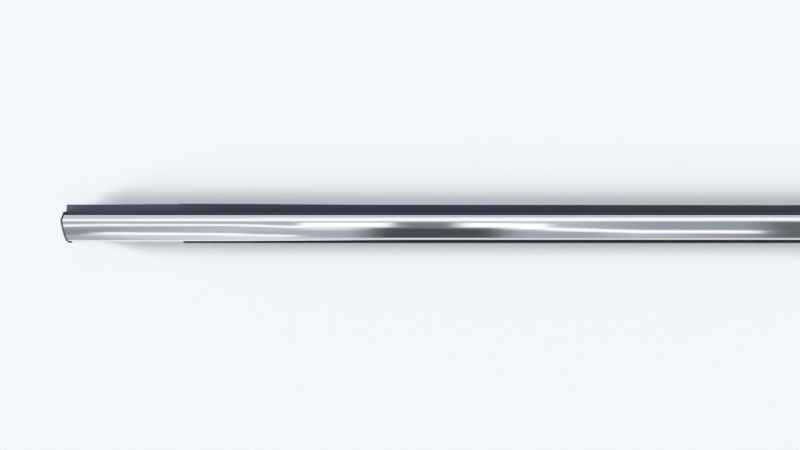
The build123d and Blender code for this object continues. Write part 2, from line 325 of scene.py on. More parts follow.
class Section:
    """The lines of the moulding's cross section, from its sizes."""

    def __init__(self, scene):
        self.strip = scene.moulding_strip
        self.carrier = scene.moulding_carrier
        self.lips = scene.moulding_lips
        self.cap = scene.moulding_cap
        self.wall_top = self.lips.glass_drop + self.carrier.inner_wall
        self.underside = self.wall_top + self.carrier.channel_gap
        self.crest = self.underside + self.carrier.outer_wall + self.strip.thickness
        self.hem = self.underside - self.strip.thickness
        self.side = -self.strip.face_width
        self.hem_edge = self.side + self.strip.hem_width
        self.seat = self.carrier.back_reach - self.carrier.back_wall
        self.crest_y = (self.lips.panel_reach - self.lips.top_reach) / 2
        self.end_depth = self.cap.thickness + self.cap.clearance
        self.slope = self.strip.facet_angle
        drop = sqrt(self.strip.face_radius**2 - self.strip.face_apex**2)
        self.arc_centre = Vector((-self.strip.face_apex, self.crest - drop))
        reach = self.strip.face_radius - self.strip.side_radius
        aside = self.side + self.strip.side_radius - self.arc_centre.x
        self.side_centre = self.arc_centre.y + sqrt(reach**2 - aside**2)

    def face(self, across):
        """Height of the bright face."""
        reach = self.strip.face_radius**2 - (across - self.arc_centre.x) ** 2
        return self.arc_centre.y + sqrt(reach)

    def facet(self, across, depth=0.0):
        """Height of the facet, or of a line at a depth below it."""
        return self.crest - across * tan(self.slope) - depth / cos(self.slope)

    def facet_across(self, up, depth):
        """Where a line at a depth below the facet reaches a height."""
        return (self.crest - up - depth / cos(self.slope)) / tan(self.slope)

    def strip_line(self):
        """Outer line of the strip from hem to tuck, as (point, outward direction)."""
        strip = self.strip
        upright = pi / 2
        facet_normal = upright - self.slope
        reach = strip.face_radius - strip.side_radius
        side_turn = pi - acos((-self.side - strip.side_radius + self.arc_centre.x) / reach)
        side_top = self.arc_centre + polar(side_turn) * reach
        reach = strip.face_radius - strip.crest_radius
        crest_line = self.crest * cos(self.slope) - strip.crest_radius
        crest_line -= polar(facet_normal).dot(self.arc_centre)
        crest_turn = facet_normal + acos(crest_line / reach)
        facet_run = strip.facet_width / cos(self.slope) - strip.fold_radius
        facet_run -= strip.crest_radius * tan(self.slope / 2)
        crown = facet_run / strip.facet_bow / 2
        # Each arc: its radius, the angles where it starts and ends, and its steps
        arcs = [
            (strip.fold_radius, -upright, -pi, 10),
            (strip.side_radius, pi, side_turn, 28),
            (strip.face_radius, side_turn, crest_turn, 48),
            (strip.crest_radius, crest_turn, facet_normal + crown, 18),
            (strip.facet_bow, facet_normal + crown, facet_normal - crown, 16),
            (strip.fold_radius, facet_normal - crown, facet_normal - upright, 12),
        ]
        line = [(Vector((self.hem_edge, self.hem)), polar(-upright))]
        point = Vector((self.side + strip.fold_radius, self.hem))
        for index, (radius, start, end, steps) in enumerate(arcs):
            # The second arc comes after an upright, and each later one goes on from the last.
            if index == 1:
                point = Vector((self.side, side_top.y))
            centre = point - polar(start) * radius
            for step in range(0 if index < 2 else 1, steps + 1):
                normal = polar(start + (end - start) * step / steps)
                line.append((centre + normal * radius, normal))
            point = centre + polar(end) * radius
        tuck = strip.tuck_depth - strip.fold_radius
        inward = polar(facet_normal + pi)
        line.append((point + inward * tuck, polar(facet_normal - upright)))
        return line

    def strip_outline(self):
        """The folded strip, with its thickness laid inside its outer line."""
        line = self.strip_line()
        outer = [point for point, normal in line]
        inner = [point - normal * self.strip.thickness for point, normal in line]
        return (outer + inner[::-1])[::-1]

    def carrier_outline(self):
        """The channel: wall under the strip, shoulder, back wall, inner wall and roll."""
        carrier = self.carrier
        line = self.strip_line()
        under = [point - normal * self.strip.thickness for point, normal in line]
        tuck_end, fold_end = line[-1][0], line[-2][0]
        groove = fold_end.lerp(tuck_end, 0.12)  # a little way down the strip's tucked edge
        roll_up = self.facet(carrier.back_reach, carrier.groove_depth)
        roll_end = Vector((carrier.back_reach, roll_up))
        outward = polar(pi / 2 - self.slope)
        half_rib = carrier.rib_width / 2
        walls = [(self.hem_edge, self.underside, 0)]
        for place in (carrier.outer_rib, carrier.inner_rib):
            walls.append((place - half_rib, self.underside, 0))
            walls.append((place + half_rib, self.underside - carrier.rib_height, RIB_CORNER))
            walls.append((place + half_rib, self.underside, 0))
        shoulder = self.strip.thickness + carrier.shoulder_wall
        barb = carrier.barb_width - carrier.free_edge
        walls += [
            (self.facet_across(self.underside, shoulder), self.underside, SOFT_CORNER),
            (self.seat, self.facet(self.seat, shoulder), SOFT_CORNER),
            (self.seat, self.wall_top, carrier.seat_radius),
            (barb, self.wall_top, 0),
            (barb, self.wall_top + carrier.barb_height, DIE_CORNER),
            (-carrier.free_edge, self.wall_top, carrier.edge_radius),
            (-carrier.free_edge, self.lips.glass_drop, carrier.edge_radius),
            (carrier.back_reach, self.lips.glass_drop, carrier.foot_radius),
            (carrier.back_reach, roll_up, 0),
        ]
        roll = []
        roll_steps = 12
        for step in range(1, roll_steps):
            share = step / roll_steps
            bulge = outward * carrier.roll_bulge * 4 * share * (1 - share)
            roll.append(roll_end.lerp(groove, share) + bulge)
        return rounded(walls) + roll + [groove, tuck_end] + under[:0:-1]

    def plate_outline(self):
        """Strip and carrier as one outline with the channel's mouth closed, for a cap."""
        side_top = (self.side, self.face(self.side), self.strip.side_radius)
        # The face in steps from near its side, where the bend needs the room, to the crest
        steps = 14
        face = [self.side * (1 - step / steps) for step in range(4, steps)]
        back = self.carrier.back_reach - self.cap.proud  # the top lip leaves no room beyond
        corners = [
            (-self.carrier.free_edge, self.lips.glass_drop, CAP_CORNER),
            (back, self.lips.glass_drop, self.carrier.foot_radius),
            (back, self.facet(back), self.carrier.back_wall / 2),
            (0.0, self.crest, self.strip.crest_radius),
        ]
        corners += [(across, self.face(across), 0) for across in reversed(face)]
        corners += [side_top, (self.side, self.hem, SOFT_CORNER)]
        return inset(rounded(corners, steps=10), -self.cap.proud)

    def tab_outline(self):
        """The tab that hugs the side of the strip, in from its outer line."""
        top = self.hem + self.cap.tab_height
        sideways = -0.5  # of the strip's outward direction, which is -1 on its upright side
        line = [(p, n) for p, n in self.strip_line() if p.y <= top and n.x < sideways]
        outer = [point + normal * self.cap.tab_thickness for point, normal in line]
        outer = [Vector((point.x, max(point.y, self.hem))) for point in outer]
        return outer[::-1] + [point for point, normal in line]

    def plug_outline(self):
        """The plug that a cap pushes into the channel, under the ribs."""
        room = self.cap.clearance
        low = self.wall_top + room
        high = self.underside - self.carrier.rib_height - room
        depth = self.strip.thickness + self.carrier.shoulder_wall + room
        past = self.seat + self.cap.socket_depth - room
        inner = self.seat - self.cap.plug_width
        top = self.facet(self.seat, depth)
        corners = [
            (inner, low, PLUG_CORNER),
            (past, low, PLUG_EDGE),
            (past, top, DIE_CORNER),
            (self.seat, top, 0),
            (self.facet_across(high, depth), high, PLUG_EDGE),
            (inner, high, PLUG_CORNER),
        ]
        return rounded(corners, steps=4)

    def top_lip_outline(self, x):
        """The flat lip beside the bright face, drawn in where it is trimmed or relaxed."""
        lips = self.lips
        start = TOP_LIP_BOX[0].x
        slant_end = start + lips.trim_length + lips.trim_slant
        cut = clamped((slant_end - x) / lips.trim_slant)
        ease_start, ease_end = [start + share * lips.trim_length for share in TRIM_EASES]
        cut *= 1 - lips.trim_ease * eased(x, ease_start, ease_end)
        drawn = FIRST_DRAW * eased(x, slant_end, slant_end + lips.relax_run)
        drawn += (1 - FIRST_DRAW) * eased(x, slant_end, slant_end + lips.relax_run * SLOW_DRAW)
        drawn *= eased(x, HALF_LENGTH, (1 - DRAW_FADES) * HALF_LENGTH)
        reach = lips.top_reach - lips.trim_depth * cut - lips.relax * drawn
        root = self.carrier.back_reach
        high = self.crest - lips.top_depth
        share = (reach - root) / (lips.top_reach - root)
        fall = lips.top_droop * share
        tip = lips.top_tip + (lips.top_root - lips.top_tip) * (1 - share)
        corners = [
            (root, high - lips.top_root, 0),
            (reach, high - fall - tip, lips.top_nose),
            (reach, high - fall, lips.top_nose),
            (root, high, 0),
        ]
        return rounded(corners, steps=8)

    def panel_lip_outline(self, x):
        """The bead inside the hem, the wrap round the strip's side, and the thin edge."""
        lips = self.lips
        radius, fold = self.strip.side_radius, self.side + self.strip.fold_radius
        start = PANEL_LIP_BOX[0].x
        lap = lips.lap_start
        lap += (lips.lap_full - lips.lap_start) * eased(x, start, start + lips.lap_run)
        bend = Vector((self.side + radius, self.side_centre))
        turn = acos(1 - lap / radius)
        points = [Vector((self.hem_edge, self.underside)), Vector((self.hem_edge, self.hem))]
        # Round the hem's fold, up the strip's side, and back down at half the thickness,
        # which grows to the whole of it
        fold_centre = Vector((fold, self.hem + self.strip.fold_radius))
        fold_steps, lap_steps, back_steps = 6, 12, 11
        for step in range(fold_steps + 1):
            quarter = (1 + step / fold_steps) * pi / 2
            points.append(fold_centre + polar(-quarter) * self.strip.fold_radius)
        for step in range(1, lap_steps + 1):
            points.append(bend + polar(pi - turn * step / lap_steps) * radius)
        for step in range(back_steps + 1):
            share = step / back_steps
            thick = lips.panel_wrap * (1 + share) / 2
            points.append(bend + polar(pi - turn * (1 - share)) * (radius + thick))
        tip = self.hem - lips.panel_drop
        under = self.hem - lips.panel_thickness
        corners = [(point.x, point.y, 0) for point in points]
        corners += [
            (self.side - lips.panel_wrap, self.hem, SOFT_CORNER),
            (-lips.panel_reach, tip, DIE_CORNER),
            (-lips.panel_reach, tip - lips.panel_tip, LIP_CORNER),
            (fold, under, LIP_BEND),
            (self.hem_edge + lips.panel_root, under, BEAD_CORNER),
            (self.hem_edge + lips.panel_root, self.underside, 0),
        ]
        return rounded(corners)

    def glass_lip_outline(self, root):
        """A lip that curves from the inner wall to its tip on the glass."""
        lips = self.lips
        tip = root + lips.glass_sweep
        steps, nose_steps = 24, 4
        near, far = [], []
        for step in range(steps + 1):
            share = step / steps
            bow = 4 * share * (1 - share) * lips.glass_bow
            width = lips.glass_root + (lips.glass_tip - lips.glass_root) * share
            point = Vector((root + lips.glass_sweep * share, lips.glass_drop * (1 - share)))
            point -= Vector((bow, bow))
            near.append(point)
            if step <= steps - nose_steps:
                far.append(point + Vector((width, 0)))
        toe = (tip + lips.glass_tip, 0.0, TOE_CORNER)
        nose = rounded([(tip, 0.0, 0), toe, (far[-1].x, far[-1].y, 0)])
        return near + nose[1:-1] + far[::-1]

    def rake(self, across, depth=0.0):
        """Where the raked end lies along the length, at a depth inside it."""
        radius, centre = self.cap.rake_radius, self.cap.rake_centre
        furthest = sqrt(radius**2 - (centre - self.carrier.back_reach) ** 2)
        return furthest - HALF_LENGTH - sqrt((radius - depth) ** 2 - (centre - across) ** 2)

    def body_start(self, across, depth):
        """Where the strip and the carrier begin, behind the raked cap."""
        return self.rake(across, self.end_depth + depth)

    def cap_rake(self, across, depth=0.0):
        """The raked end with the corner that the cap has in plan."""
        radius = self.cap.corner_radius
        edge = self.side - self.cap.tab_thickness + radius
        centre_x = self.rake(edge, radius)
        share = (self.cap.rake_radius - depth) / (self.cap.rake_radius - radius)
        if across > self.cap.rake_centre + (edge - self.cap.rake_centre) * share:
            return self.rake(across, depth)
        reach = (radius - depth) ** 2 - (across - edge) ** 2
        return centre_x - sqrt(max(reach, 0.0))


# Meshes


def signed_area(outline):
    """Area of a closed outline, positive where it runs anticlockwise."""
    pairs = zip(outline, outline[1:] + outline[:1])
    return sum(a.x * b.y - b.x * a.y for a, b in pairs) / 2


def contains(outline, point):
    """Whether a point is inside a closed outline."""
    inside = False
    for a, b in zip(outline, outline[1:] + outline[:1]):
        if (a.y > point.y) != (b.y > point.y):
            if point.x < (b.x - a.x) * (point.y - a.y) / (b.y - a.y) + a.x:
                inside = not inside
    return inside


def filled(outline):
    """Points inside a closed outline, and the triangles over it and them."""
    low = Vector((min(p.x for p in outline), min(p.y for p in outline)))
    high = Vector((max(p.x for p in outline), max(p.y for p in outline)))
    inner = []
    for column in range(1, int((high.x - low.x) / FILL_SPACING) + 1):
        for row in range(1, int((high.y - low.y) / FILL_SPACING) + 1):
            point = low + Vector((column, row)) * FILL_SPACING
            near = min((point - other).length for other in outline)
            if near > FILL_SPACING / 3 and contains(outline, point):
                inner.append(point)
    points = [point / MM for point in outline + inner]
    inside, nearness = 1, 1e-6  # keep the triangles in the outline, merge points this near
    result = delaunay_2d_cdt(points, [], [list(range(len(outline)))], inside, nearness)
    faces, origins = result[2], result[3]
    return inner, [[origins[corner][0] for corner in face] for face in faces]


def sweep(name, outline, start, end, edge=0.0, stations=()):
    """Mesh of a length of one section between two ends, with rounded end edges.

    outline is a closed outline, or gives one at a place along the length. start and end are
    places along the length, or give one for a line of the section, at a depth in the piece.
    """
    outline_at = outline if callable(outline) else lambda x: outline
    start_at = start if callable(start) else lambda across, depth: start + depth
    end_at = end if callable(end) else lambda across, depth: end - depth
    first = outline_at(-HALF_LENGTH)
    last = outline_at(HALF_LENGTH)
    if signed_area(first) < 0:
        raise RuntimeError(f"the outline of {name} runs clockwise")
    rounding = [pi / 2]
    if edge:
        rounding = [pi / 2 * step / EDGE_STEPS for step in range(EDGE_STEPS + 1)]
    rings = []
    for angle in rounding:
        ring = inset(first, edge * (1 - sin(angle)))
        rings.append([(start_at(p.x, edge * (1 - cos(angle))), p) for p in ring])
    begin = max(start_at(p.x, edge) for p in first)
    finish = min(end_at(p.x, edge) for p in last)
    count = max(1, round((finish - begin) / STATION))
    places = [begin + (finish - begin) * step / count for step in range(1, count)]
    places += [x for x in stations if begin + MM < x < finish - MM]
    for x in sorted(places):
        rings.append([(x, p) for p in outline_at(x)])
    for angle in reversed(rounding):
        ring = inset(last, edge * (1 - sin(angle)))
        rings.append([(end_at(p.x, edge * (1 - cos(angle))), p) for p in ring])
    points = [(x, p.x, p.y) for ring in rings for x, p in ring]
    width = len(first)
    faces = []
    for row in range(len(rings) - 1):
        for column in range(width):
            a, b = row * width + column, row * width + (column + 1) % width
            faces.append((a, b, b + width, a + width))
    for ring_index, place_at, flip in ((0, start_at, True), (len(rings) - 1, end_at, False)):
        ring = [p for x, p in rings[ring_index]]
        inner, triangles = filled(ring)
        base, extra = ring_index * width, len(points)
        points += [(place_at(p.x, 0.0), p.x, p.y) for p in inner]
        for triangle in triangles:
            corners = [base + c if c < width else extra + c - width for c in triangle]
            faces.append(corners[::-1] if flip else corners)
    mesh = bpy.data.meshes.new(name)
    mesh.from_pydata(points, [], faces)
    return mesh


def placed(name, mesh, section, materials, node):
    """The object of a piece, riding on the frame in place of its CAD node."""
    mesh.transform(Matrix.Translation((0, section.crest_y, 0)))
    if mesh.validate():
        raise RuntimeError(f"the mesh of {name} has faults")
    for material in materials:
        mesh.materials.append(material)
    mesh.shade_smooth()
    mesh.set_sharp_from_angle(angle=SHARP_ANGLE)
    piece = bpy.data.objects.new(name, mesh)
    bpy.context.scene.collection.objects.link(piece)
    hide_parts(node)
    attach(piece, "root")
    return piece


def united(mesh, *others):
    """One closed mesh of several that overlap."""
    scene = bpy.context.scene
    base = bpy.data.objects.new(mesh.name, mesh)
    scene.collection.objects.link(base)
    tools = []
    for other in others:
        tool = bpy.data.objects.new(other.name, other)
        scene.collection.objects.link(tool)
        tools.append(tool)
        union = base.modifiers.new(other.name, "BOOLEAN")
        union.operation = "UNION"
        union.solver = "EXACT"
        union.object = tool
    whole = bpy.data.meshes.new_from_object(
        base.evaluated_get(bpy.context.evaluated_depsgraph_get())
    )
    for item in [base, *tools]:
        bpy.data.objects.remove(item)
    return whole


# Materials

# Sockets of a Mix node that mixes colours: share, first and second colour, and result
SHARE, FIRST, SECOND, MIXED = 0, 6, 7, 2
NOISE_LOW, NOISE_HIGH = 0.3, 0.7  # what a noise mostly stays between
SHEEN_FADE_LENGTH = 26 * MM  # length over which the bare rubber's painted sheen fades out of the flock
SHEEN_FADE_FLOCK_SHARE = 0.3  # share of the flock's own colour where that fade begins


def add(tree, kind, inputs=None, **settings):
    """A node of a kind, with its settings, and its inputs set or linked.

    A node that is given as an input is linked from its first output.
    """
    node = tree.nodes.new("ShaderNode" + kind)
    for key, value in settings.items():
        setattr(node, key, value)
    for key, value in (inputs or {}).items():
        if isinstance(value, bpy.types.Node):
            value = value.outputs[0]
        if isinstance(value, bpy.types.NodeSocket):
            tree.links.new(value, node.inputs[key])
        else:
            node.inputs[key].default_value = value
    return node


def new_material(name):
    """An empty material, with its node tree."""
    material = bpy.data.materials.new(name)
    material.use_nodes = True
    material.node_tree.nodes.clear()
    return material, material.node_tree


def grain(tree, periods, detail=2.0, roughness=0.5):
    """Noise with a period in millimetres along each axis of the moulding."""
    place = add(tree, "TexCoord").outputs["Object"]
    scale = [1 / (period * MM) for period in periods]
    scaled = add(tree, "Mapping", {"Vector": place, "Scale": scale})
    inputs = {"Vector": scaled, "Scale": 1.0, "Detail": detail, "Roughness": roughness}
    return add(tree, "TexNoise", inputs)


def opaque(colour):
    """A colour as a shader's socket takes it."""
    return (*colour, 1.0)


def mottled(tree, colour, periods, detail=3.0, darker=0.8, lighter=1.2):
    """A colour that drifts between a darker and a lighter shade, with periods in millimetres."""
    dark = [c * darker for c in colour]
    light = [min(c * lighter, 1.0) for c in colour]
    shades = {SHARE: grain(tree, periods, detail), FIRST: opaque(dark), SECOND: opaque(light)}
    return add(tree, "Mix", shades, data_type="RGBA").outputs[MIXED]


def rolled_stainless_steel(colours):
    """Bright annealed stainless strip, roll formed: a near mirror that draws bands along it."""
    material, tree = new_material("rolled_stainless_steel")
    # Roll lines run the length of the strip. Real ones are a few hundredths of a millimetre
    # wide; these are 0.5 mm, so that they show.
    lines = grain(tree, (60, 0.5, 0.5), 3.0, 0.6)
    # The strip is never quite flat after forming, which makes reflections wander.
    waves = grain(tree, (90, 16, 16), 0.0)
    form = add(tree, "Bump", {"Height": waves, "Distance": 0.016 * MM, "Strength": 1.0})
    fine = {"Height": lines, "Distance": 0.0006 * MM, "Strength": 0.6, "Normal": form}
    smear = {"Value": lines, "From Min": NOISE_LOW, "From Max": NOISE_HIGH}
    smear.update({"To Min": 0.05, "To Max": 0.09})
    shader = add(
        tree,
        "BsdfPrincipled",
        {
            "Base Color": opaque(colours.steel),
            "Metallic": 1.0,
            "Roughness": add(tree, "MapRange", smear),
            "Normal": add(tree, "Bump", fine),
        },
    )
    add(tree, "OutputMaterial", {"Surface": shader})
    return material


def extruded_polypropylene(colours):
    """Black polypropylene out of a die: satin, with faint draw lines along the length."""
    material, tree = new_material("extruded_polypropylene")
    # A die's draw lines are about 0.05 mm apart; these are 0.25 mm, so that they show. The
    # shine changes over patches of a few millimetres, where the melt cooled unevenly.
    lines = grain(tree, (40, 0.25, 0.25))
    mottle = grain(tree, (6, 2, 2), 3.0)
    gloss = {"Value": mottle, "From Min": NOISE_LOW, "From Max": NOISE_HIGH}
    gloss.update({"To Min": 0.38, "To Max": 0.52})
    shader = add(
        tree,
        "BsdfPrincipled",
        {
            "Base Color": opaque(colours.carrier),
            "Roughness": add(tree, "MapRange", gloss),
            "IOR": 1.49,
            "Specular IOR Level": 0.3,
            "Normal": add(tree, "Bump", {"Height": lines, "Distance": 0.01 * MM, "Strength": 0.5}),
        },
    )
    add(tree, "OutputMaterial", {"Surface": shader})
    return material


def black_elastomer(colours):
    """Extruded black thermoplastic elastomer: deep black and dull, smooth along the length."""
    material, tree = new_material("extruded_black_elastomer")
    # Draw lines, 0.3 mm apart and not the real 0.05 mm, so that they show
    lines = grain(tree, (50, 0.3, 0.3))
    shader = add(
        tree,
        "BsdfPrincipled",
        {
            "Base Color": mottled(tree, colours.panel, (12, 2, 2), detail=2.0),
            "Roughness": 0.6,
            "IOR": 1.5,
            "Specular IOR Level": 0.12,
            "Normal": add(tree, "Bump", {"Height": lines, "Distance": 0.01 * MM, "Strength": 0.5}),
        },
    )
    add(tree, "OutputMaterial", {"Surface": shader})
    return material


def bare_rubber(colours):
    """Extruded soft rubber without flock: matt, with its sheen painted into a lighter grey base
    colour.
    """
    material, tree = new_material("bare_extruded_rubber")
    # Draw lines, 0.4 mm apart and not the real 0.05 mm, so that they show. The painted grey varies
    # in patches of about 3 mm by 14 mm.
    lines = grain(tree, (30, 0.4, 0.4))
    shader = add(
        tree,
        "BsdfPrincipled",
        {
            # Painted sheen: the rubber's dark grey is painted lighter, in place of a real sheen
            "Base Color": mottled(tree, colours.rubber, (14, 3, 3), darker=0.82, lighter=1.16),
            "Roughness": 0.74,
            "IOR": 1.52,
            "Specular IOR Level": 0.1,
            "Sheen Weight": 0.06,
            "Normal": add(tree, "Bump", {"Height": lines, "Distance": 0.02 * MM, "Strength": 0.5}),
        },
    )
    add(tree, "OutputMaterial", {"Surface": shader})
    return material


def flocked_rubber(colours, sheen_fade_start=None):
    """Rubber with short nylon flock glued on: dead matt, with a soft pale edge.

    Where a start is given, the bare rubber's colour, with its painted sheen, is blended into the
    flock's over a length from there, so the lip is painted lighter next to its bare part.
    """
    material, tree = new_material("flocked_rubber")
    # Flock fibres are 0.02 mm thick and 0.5 mm long; the tufts here are 0.2 mm, so that
    # they show. The pile leans in patches of a few millimetres.
    tufts = grain(tree, (0.2, 0.2, 0.2), 2.0, 0.6)
    shade = mottled(tree, colours.flock, (9, 2.5, 2.5))
    # Painted sheen: near its bare part the lip is blended from the bare rubber's lighter colour
    # into the flock's
    if sheen_fade_start is not None:
        place = add(tree, "TexCoord").outputs["Object"]
        along = add(tree, "SeparateXYZ", {"Vector": place}).outputs["X"]
        cover = {"Value": along, "To Min": SHEEN_FADE_FLOCK_SHARE}
        cover.update({"From Min": sheen_fade_start, "From Max": sheen_fade_start + SHEEN_FADE_LENGTH})
        shades = {FIRST: opaque(colours.rubber), SECOND: shade}
        shades[SHARE] = add(tree, "MapRange", cover)
        shade = add(tree, "Mix", shades, data_type="RGBA").outputs[MIXED]
    shader = add(
        tree,
        "BsdfPrincipled",
        {
            "Base Color": shade,
            "Roughness": 0.9,
            "IOR": 1.5,
            "Specular IOR Level": 0.15,
            "Sheen Weight": 0.2,
            "Sheen Roughness": 0.5,
            "Normal": add(tree, "Bump", {"Height": tufts, "Distance": 0.08 * MM, "Strength": 0.7}),
        },
    )
    add(tree, "OutputMaterial", {"Surface": shader})
    return material


def moulded_nylon(colours):
    """Injection-moulded dark grey nylon: fine spark-eroded grain and a low satin sheen."""
    material, tree = new_material("moulded_nylon")
    # The mould's spark-eroded grain is about 0.05 mm; it is drawn at 0.15 mm, so that it
    # shows. The sheen changes over clouds of about 3 mm.
    pits = grain(tree, (0.15, 0.15, 0.15))
    gloss = {"Value": grain(tree, (3, 3, 3)), "From Min": NOISE_LOW, "From Max": NOISE_HIGH}
    gloss.update({"To Min": 0.42, "To Max": 0.58})
    shader = add(
        tree,
        "BsdfPrincipled",
        {
            "Base Color": opaque(colours.cap),
            "Roughness": add(tree, "MapRange", gloss),
            "IOR": 1.53,
            "Normal": add(tree, "Bump", {"Height": pits, "Distance": 0.02 * MM, "Strength": 0.5}),
        },
    )
    add(tree, "OutputMaterial", {"Surface": shader})
    return material


def pale_laminate(colours):
    """White table laminate: matt, with a faint pebble texture."""
    material, tree = new_material("pale_table_laminate")
    # The pebble texture of such a laminate is 1 to 2 mm across.
    pebble = grain(tree, (1.6, 1.6, 1.6), 3.0, 0.65)
    bump = add(tree, "Bump", {"Height": pebble, "Distance": 0.10 * MM, "Strength": 0.5})
    shader = add(tree, "BsdfDiffuse", {"Color": opaque(colours.floor), "Normal": bump})
    add(tree, "OutputMaterial", {"Surface": shader})
    return material


# Stage

FLOOR_REACH = 12.0
SQUARE = ((-1, -1), (1, -1), (1, 1), (-1, 1))
SENSOR_WIDTH = 36.0  # in millimetres, as the camera takes it
CLIP_START = 10 * MM

# The lamps beyond the raked end: turn from the moulding's length and apparent width, in
# degrees, and share of the level
LAMP_HEIGHT = radians(15)
LAMPS = (
    ("key_front", 23, 18, 0.36),
    ("key_side", 10, 8, 0.13),
    ("key_back", -7, 12, 0.51),
)

# Soft cards on a ceiling one metre up, which only polished surfaces see. Each card: place
# along and across, half sizes, softness of its ends and of its sides, drift of its place
# across per metre along, and colour. Later ones cover earlier ones.
CARDS = (
    # wall on the glass side
    (0.0, 106.0, 60.0, 100.0, 2.0, 5.0, 0.0, "#C4C7CD"),
    (0.0, 110.0, 60.0, 100.0, 2.0, 4.0, 0.0, "#B0B3BB"),
    (-13.6, 54.0, 12.0, 50.0, 3.0, 1.6, 0.0, "#C0C2C9"),
    (5.6, 0.9, 5.0, 0.72, 0.6, 0.1, 0.0, "#CDCFD4"),
    # wall on the door side, dimmer past the raked end
    (0.0, -1.6, 30.0, 1.44, 1.0, 0.05, 0.0, "#CFD0D4"),
    (-1.0, -0.6, 0.5, 0.44, 0.2, 0.1, 0.0, "#A6A5AA"),
    (-1.6, -1.9, 0.85, 0.9, 0.25, 0.1, 0.0, "#9E9EA4"),
    # ceiling
    (0.0, 0.0, 9.0, 0.18, 0.3, 0.022, 0.0, "#A2A6B1"),
    (-0.257, 0.02, 0.09, 0.038, 0.12, 0.03, 0.0, "#AFB9C3"),
    (-0.54, 0.015, 0.09, 0.045, 0.1, 0.03, 0.0, "#9698A4"),
    (0.24, 0.085, 0.11, 0.08, 0.14, 0.04, 0.0, "#BABCC0"),
    # ceiling towards the far end
    (0.6, 0.085, 0.26, 0.085, 0.4, 0.04, 0.0, "#8E95A0"),
    (0.56, -0.09, 0.3, 0.055, 0.3, 0.03, 0.0, "#9698A1"),
    (0.41, -0.085, 0.07, 0.055, 0.12, 0.03, 0.0, "#B2B5B9"),
    (0.36, -0.22, 0.42, 0.06, 0.3, 0.03, 0.0, "#9497A0"),
    (0.76, -0.04, 0.155, 0.2, 0.09, 0.06, 0.0, "#5B6063"),
    # pale panel on the door side
    (-0.33, -0.125, 0.165, 0.05, 0.1, 0.016, -0.06, "#C9C8CB"),
    (-0.245, -0.125, 0.052, 0.045, 0.07, 0.016, -0.06, "#DBDADD"),
    # lamps over the glass side
    (-0.55, 0.0917, 0.085, 0.0185, 0.03, 0.01, 0.15, "#FFFFFF"),
    (-0.375, 0.1, 0.11, 0.018, 0.03, 0.01, 0.0, "#FFFFFF"),
    (-0.212, 0.079, 0.058, 0.02, 0.02, 0.012, -0.32, "#FFFFFF"),
    # lamps over the door side
    (-0.5, -0.0655, 0.022, 0.015, 0.025, 0.012, 0.25, "#FFFFFF"),
    (-0.381, -0.0604, 0.124, 0.021, 0.04, 0.012, -0.07, "#FFFFFF"),
    (-0.23, -0.0828, 0.061, 0.0125, 0.02, 0.012, -0.26, "#FFFFFF"),
    # soft boxes
    (-0.09, 0.1, 0.079, 0.045, 0.012, 0.02, 0.0, "#FFFFFF"),
    (-0.1, 0.034, 0.062, 0.028, 0.03, 0.035, 0.0, "#D5D7D9"),
    (0.166, 0.082, 0.082, 0.056, 0.03, 0.022, -0.1, "#FFFFFF"),
    # lamps towards the far end
    (0.325, 0.003, 0.085, 0.028, 0.02, 0.022, -0.28, "#FFFFFF"),
    (0.5, -0.022, 0.1, 0.026, 0.02, 0.026, -0.05, "#FFFFFF"),
    # dark ceiling between the soft boxes
    (0.058, -0.065, 0.115, 0.12, 0.08, 0.045, 0.0, "#43474E"),
    (0.045, 0.1, 0.05, 0.055, 0.05, 0.04, 0.0, "#72757A"),
    (-0.56, -0.028, 0.05, 0.048, 0.06, 0.04, 0.0, "#86868F"),
)
CEILING = "#F5F5F7"  # where no card lies
HORIZON = 0.02  # lowest upward share of a direction that is taken to meet the ceiling
MIRRORED = 1.3  # level of what polished surfaces see

# Walls past both ends, darker than the ceiling and darkest at the foot, so that the steel
# stands out when it is seen along its length. They are placed by the shares of a direction
# that go up and along the moulding.
WALL_FOOT, WALL_TOP = "#70747C", "#C4C7CD"
WALL_RISE = (0.05, 0.6)
WALL_EDGE = (0.56, 0.8)


